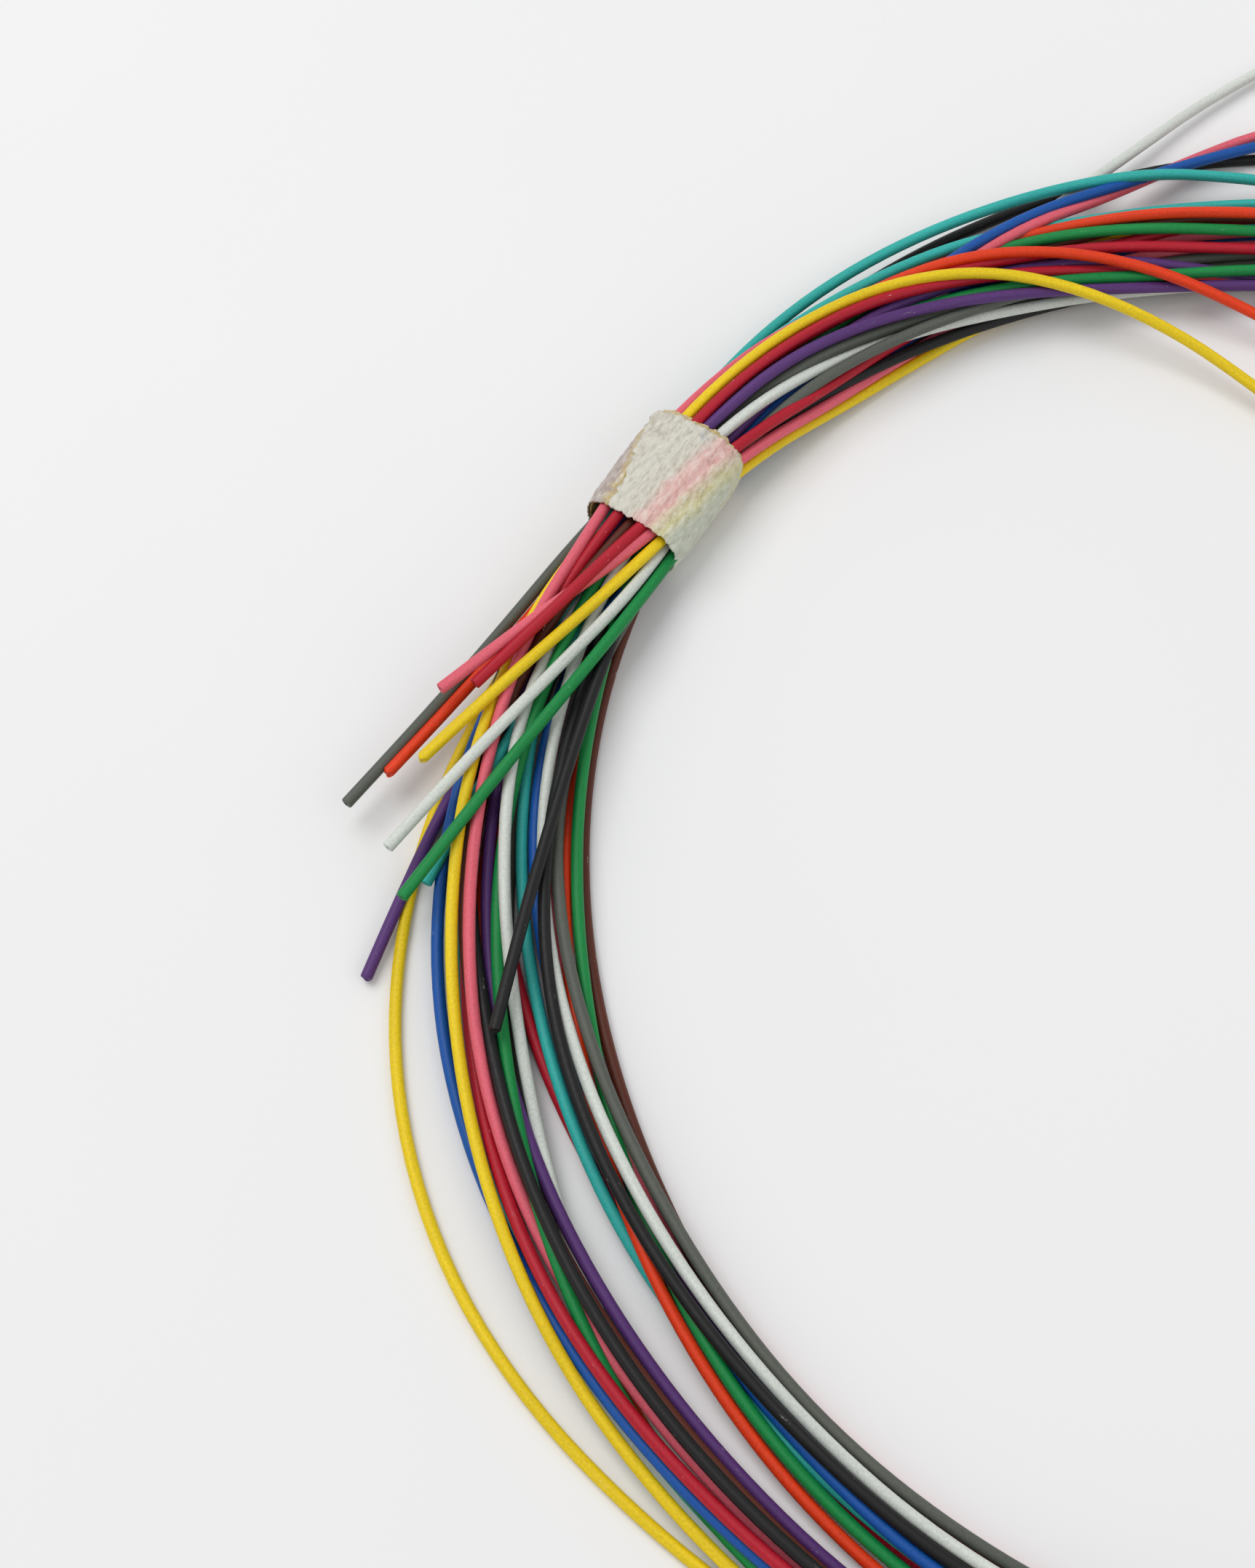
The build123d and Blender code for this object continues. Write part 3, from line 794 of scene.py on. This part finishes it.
def jacket_material(colour, number):
    """Matt extruded plastic: fine grain, faint long streaks, a little dust and a few pale scuffs."""
    nodes = Nodes(colour + "_plastic")
    base = linear(*JACKET_RGB[colour])
    place = nodes.scaled(nodes.place("strand_place"), (1 / MM, 1 / MM, 1 / MM))
    place = nodes.changed("ADD", place, (SHIFT * number, 0.0, 0.0))
    grain = nodes.noise(place, GRAIN_SIZE, 3.0, 0.6)
    streak = nodes.noise(nodes.scaled(place, STREAK_SIZE), 1.0, 3.0)
    patch = nodes.noise(nodes.scaled(place, PATCH_SIZE), 1.0, 1.0)
    scuff = nodes.noise(nodes.scaled(place, SCUFF_SIZE), 1.0, 4.0, 0.65)
    dark = [value * DARK_GRAIN for value in base[:3]] + [1.0]
    light = [value * LIGHT_GRAIN + LIGHT_LIFT for value in base[:3]] + [1.0]
    grain_part = nodes.math("MULTIPLY", grain, GRAIN_SHARE)
    streak_part = nodes.math("MULTIPLY", streak, 1 - GRAIN_SHARE)
    tone = nodes.spread(nodes.math("ADD", grain_part, streak_part), *NOISE_RANGE)
    shade = nodes.mix(tone, dark, light)
    shade = nodes.mix(nodes.spread(patch, 0.35, 0.7, 0.0, 0.12), shade, light)
    marks = nodes.math("MULTIPLY", nodes.spread(scuff, 0.66, 0.72), nodes.spread(grain, 0.45, 0.6))
    scuffed = nodes.math("MULTIPLY", marks, SCUFFS.get(colour, FAINT_SCUFFS))
    worn = nodes.mix(scuffed, shade, linear(*SCUFF_RGB))
    bare = nodes.bump(streak, STREAK_DEPTH, 0.35)
    return nodes.finish(
        Base_Color=worn,
        Roughness=nodes.spread(grain, *NOISE_RANGE, *JACKET_ROUGH),
        Specular_IOR_Level=PLASTIC_SPECULAR,
        Normal=nodes.bump(grain, GRAIN_DEPTH, 0.5, bare),
    )


def core_material():
    """Coated glass fibre: dark, clear and glossy, with a cloudy cut face."""
    found = bpy.data.materials.get("fibre_glass")
    if found:
        return found
    nodes = Nodes("fibre_glass")
    place = nodes.scaled(nodes.place("position"), (1 / MM, 1 / MM, 1 / MM))
    cloud = nodes.noise(place, CORE_CLOUD)
    return nodes.finish(
        Base_Color=nodes.mix(cloud, *[linear(*colour) for colour in CORE_RGB]),
        Roughness=nodes.spread(cloud, *NOISE_RANGE, *CORE_ROUGH),
        Transmission_Weight=CORE_CLEAR,
        IOR=CORE_IOR,
        Normal=nodes.bump(cloud, CORE_DEPTH, 0.4),
    )


def tape_material():
    """Thin cream crepe paper with fibrous wrinkles, a little shine and soft stains, paler fibre ridges that
    are partly painted highlight, painted shade in the creases and a stripe of painted shade beside the torn
    edge.
    """
    nodes = Nodes("crepe_paper")
    patch = nodes.place("tape_patch")
    place = nodes.scaled(nodes.place("tape_place"), (1 / MM, 1 / MM, 1 / MM))
    across, along, turn = nodes.tree.nodes.new("ShaderNodeSeparateXYZ").outputs
    nodes.put(across.node.inputs[0], patch)
    fibre = nodes.noise(nodes.scaled(place, FIBRE_SIZE), 1.0, 6.0, 0.68)
    fine = nodes.noise(nodes.scaled(place, SPECK_SIZE), 1.0, 4.0, 0.7)
    cloud = nodes.noise(nodes.scaled(place, CLOUD_SIZE), 1.0, 3.0)
    wander = nodes.math("MULTIPLY", nodes.math("SUBTRACT", cloud, 0.5), STAIN_WANDER)
    slanting = nodes.math("SUBTRACT", across, nodes.math("MULTIPLY", along, STAIN_SLANT))
    stained = nodes.ramp(nodes.math("ADD", slanting, wander), STAINS)
    blot = nodes.spread(nodes.noise(place, 0.7, 3.0), 0.5, 0.62)
    smudge = nodes.math("MULTIPLY", nodes.spread(along, 0.72, 0.95), blot)
    edge = nodes.math("MULTIPLY", nodes.spread(across, 0.44, 0.56), nodes.spread(across, 0.78, 0.68))
    smudged = nodes.math("MULTIPLY", nodes.math("MULTIPLY", smudge, edge), 0.6)
    stained = nodes.mix(smudged, stained, linear(*SMUDGE_RGB))
    below = nodes.math("ADD", turn, nodes.math("MULTIPLY", wander, 0.4))
    # On the layer below: tan just beside the torn edge is painted shade of the edge; further off, mauve
    # where the dark strands show through.
    under = nodes.mix(nodes.spread(below, 0.99, 0.965), linear(*TORN_EDGE_SHADE_RGB), linear(*MAUVE_RGB))
    paper = nodes.mix(nodes.spread(turn, *SECOND_TURN), stained, under)
    # Paler where the fibre bump rises: partly the paper's own tone, partly painted highlight on the ridges.
    pale = nodes.mix(nodes.spread(fibre, 0.45, 0.68, 0.0, 0.6), paper, linear(*PALE_GLINT_RGB))
    # Darker where the fibre bump dips: painted shade in the creases.
    crease_shaded = nodes.mix(nodes.spread(fibre, 0.46, 0.34, 0.0, 0.5), pale, linear(*CREASE_SHADE_RGB))
    speck = nodes.mix(nodes.spread(fine, 0.32, 0.42, 0.4, 0.0), crease_shaded, linear(*SPECK_RGB))
    rough = nodes.bump(fine, SPECK_DEPTH, 0.8)
    return nodes.finish(
        Base_Color=speck,
        Roughness=nodes.spread(fibre, 0.3, 0.65, *PAPER_ROUGH),
        Specular_IOR_Level=0.5,
        Subsurface_Weight=0.08,
        Subsurface_Radius=PAPER_SCATTER,
        Subsurface_Scale=1.0,
        Normal=nodes.bump(fibre, FIBRE_DEPTH, 1.0, rough),
    )


def floor_material():
    """A pale, almost even floor with a very faint mottle."""
    nodes = Nodes("studio_floor")
    coordinates = nodes.tree.nodes.new("ShaderNodeTexCoord").outputs["Object"]
    mottle = nodes.noise(coordinates, 18.0, 2.0)
    return nodes.finish(
        Base_Color=nodes.mix(mottle, *[linear(*colour) for colour in FLOOR_RGB]),
        Roughness=0.9,
        Specular_IOR_Level=0.1,
    )


# Tape


def section(angle, out):
    """Points of the tape's section at angles from outward, pushed out by a distance, in millimetres."""
    half_w, half_h = TAPE_INSIDE_W / 2, TAPE_INSIDE_H / 2
    cosine, sine = np.cos(angle), np.sin(angle)
    inverse = np.abs(cosine / half_w) ** TAPE_SQUARE + np.abs(sine / half_h) ** TAPE_SQUARE
    size = inverse ** (-1 / TAPE_SQUARE)
    x, y = size * cosine, size * sine
    normal_x = np.sign(x) * np.abs(x / half_w) ** (TAPE_SQUARE - 1) / half_w
    normal_y = np.sign(y) * np.abs(y / half_h) ** (TAPE_SQUARE - 1) / half_h
    norm = np.hypot(normal_x, normal_y)
    return x + out * normal_x / norm, y + out * normal_y / norm


def wave(at, rng, longest, shortest, count):
    """A smooth random line of some sines, about one high."""
    total = np.zeros_like(at)
    for length in np.geomspace(longest, shortest, count):
        total += np.sin(2 * math.pi * (at / length + rng.uniform())) * rng.uniform(0.5, 1.0)
    return total / math.sqrt(count)


def wrinkles(around, along, rng):
    """Crepe ridges and dents over the strip, in millimetres out of it."""
    height = np.zeros_like(around)
    for size, amount in WRINKLES:
        for _ in range(WRINKLE_WAVES):
            turn = rng.uniform(-0.5, 0.5)
            over = around * math.cos(turn) + along * math.sin(turn)
            length = size * rng.uniform(0.8, 1.3)
            bend = 0.5 * size * np.sin(2 * math.pi * (along / (2.1 * size) + rng.uniform()))
            height += amount * 0.5 * np.sin(2 * math.pi * ((over + bend) / length + rng.uniform()))
    return height


def torn_end(across, rng):
    """The angle at which the strip ends, over its width: a slope with saw teeth."""
    width = across * TAPE_WIDTH
    first, slope = TORN_DEGREES
    back = np.clip((0.5 + across - SLOPE_FROM) / (1 - SLOPE_FROM), 0, 1)
    teeth = np.abs((across * TEETH + TOOTH_WANDER * wave(width, rng, 6, 2, 3)) % 1 - 0.5) - 0.25
    wander = TORN_WANDER * wave(width, rng, 3, 0.7, 4)
    return np.radians(first - slope * back + TOOTH_DEGREES * teeth + wander)


def strip_faces():
    """The quads of the strip: round and round its top and underside, and across its two ends."""
    columns = 2 * WRAP_COLUMNS
    faces = grid_faces(WRAP_ROWS, columns, True).tolist()
    for row, flip in ((0, 1), (WRAP_ROWS - 1, -1)):
        for k in range(WRAP_COLUMNS - 1):
            first = row * columns + k
            last = row * columns + columns - 1 - k
            faces.append([first, last, last - 1, first + 1][::flip])
    return faces


def there_and_back(top, low):
    """The values of the strip's top, and then those of its underside the other way."""
    return np.concatenate([top, low[:, ::-1]], axis=1)


def in_place(x, length, y):
    """The strip's points in space, in millimetres, from their places outward, onward and up in the tape."""
    bearing = math.radians(TAPE_BEARING)
    outward = np.array([math.cos(bearing), math.sin(bearing), 0])
    onward = np.array([math.sin(bearing), -math.cos(bearing), 0])
    up = np.array([0, 0, 1])
    height = np.array([0, 0, TAPE_THICK + TAPE_INSIDE_H / 2])
    middle = np.array([RING_X, RING_Y, 0]) + outward * RING_R + height
    points = middle + x[..., None] * outward + length[..., None] * onward + y[..., None] * up
    points[..., 2] = np.maximum(points[..., 2], LEAST_Z)
    return points


def tape_wrap():
    """The tape: one strip wound round the bundle, its last turn ending in a torn saw-tooth edge on top."""
    rng = np.random.default_rng(WRAP_SEED)
    share = np.linspace(0, 1, WRAP_ROWS)[:, None]
    across = np.linspace(-0.5, 0.5, WRAP_COLUMNS)[None, :]
    along = across * (TAPE_WIDTH - EDGE_INSET)
    back = WRAP_TURNS * (1 - share) + 0 * across
    angle = torn_end(across[0], rng)[None, :] + back * 2 * math.pi
    around = angle * WRAP_R
    layer = TAPE_SHEET * (WRAP_TURNS - back)
    height = wrinkles(around, along, rng)
    lane_height, spacing, slant = LANES
    lane = 2 * math.pi * (section(angle, 0)[0] + slant * along) / spacing
    lanes = lane_height * np.sin(lane) * (np.sin(angle) > 0)
    to_edge = 2 * np.abs(across)
    ragged = RAG * wave(around[:, :1], rng, 2.2, 0.4, 5)
    frayed = along + np.sign(across) * to_edge**RAG_EDGE * ragged + WRAP_SHIFT * (back - 1)
    curl = CURL * np.clip(1 - back * 2 * math.pi * WRAP_R / CURL_LENGTH, 0, 1) ** 2
    cinched = CINCH * to_edge**CINCH_EDGE
    top = layer + TAPE_SHEET + WRINKLE_SHARE * height + lanes + curl - cinched
    x_top, y_top = section(angle, top)
    x_low, y_low = section(angle, top - SHEET_SHARE * TAPE_SHEET)
    x = there_and_back(x_top, x_low)
    y = there_and_back(y_top, y_low)
    length = there_and_back(frayed, frayed)
    points = in_place(x, length, y).reshape(-1, 3) * MM
    tape = mesh_piece("tape_wrap", points, strip_faces(), tape_material())
    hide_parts("masking_tape")
    half = TAPE_INSIDE_W / 2 + TAPE_THICK
    patch = [0.5 - x / half / 2, 0.5 + length / TAPE_WIDTH, there_and_back(back, back)]
    give(tape, "tape_patch", np.stack(patch, axis=-1).reshape(-1, 3))
    flat = there_and_back(around, around)
    give(tape, "tape_place", np.stack([flat, length, 0 * flat], axis=-1).reshape(-1, 3) * MM)


# Studio


def camera():
    """The camera, over the coil's left side and looking down at it from in front."""
    data = bpy.data.cameras.new("camera")
    data.sensor_fit = "HORIZONTAL"
    data.sensor_width = CAMERA_SENSOR
    data.lens = CAMERA_LENS
    data.clip_start = NEAREST
    eye = bpy.data.objects.new("camera", data)
    eye.location = [value * MM for value in CAMERA_AT]
    eye.rotation_euler = (math.radians(90 - CAMERA_DOWN), 0, 0)
    bpy.context.scene.collection.objects.link(eye)
    bpy.context.scene.camera = eye


def softbox(name, at, size, watts):
    """A square light that faces the coil."""
    data = bpy.data.lights.new(name, "AREA")
    data.shape = "SQUARE"
    data.size = size
    data.energy = watts
    lamp = bpy.data.objects.new(name, data)
    lamp.location = at
    lamp.rotation_euler = (-lamp.location).to_track_quat("-Z", "Y").to_euler()
    bpy.context.scene.collection.objects.link(lamp)


def studio():
    """Pale floor, even surroundings and two soft lights."""
    bpy.ops.mesh.primitive_plane_add(size=FLOOR_SIZE)
    floor = bpy.context.object
    floor.name = "floor"
    floor.data.materials.append(floor_material())
    world = bpy.data.worlds.new("studio")
    world.use_nodes = True
    background = world.node_tree.nodes["Background"]
    background.inputs["Color"].default_value = (1.0, 1.0, 1.0, 1.0)
    background.inputs["Strength"].default_value = WORLD_STRENGTH
    bpy.context.scene.world = world
    for name, at, size, watts in SOFTBOXES:
        softbox(name, at, size, watts)
    bpy.context.scene.view_settings.view_transform = "Standard"


camera()
for number, (colour, route) in enumerate(settle().items()):
    make_strand(colour, route, number)
tape_wrap()
studio()
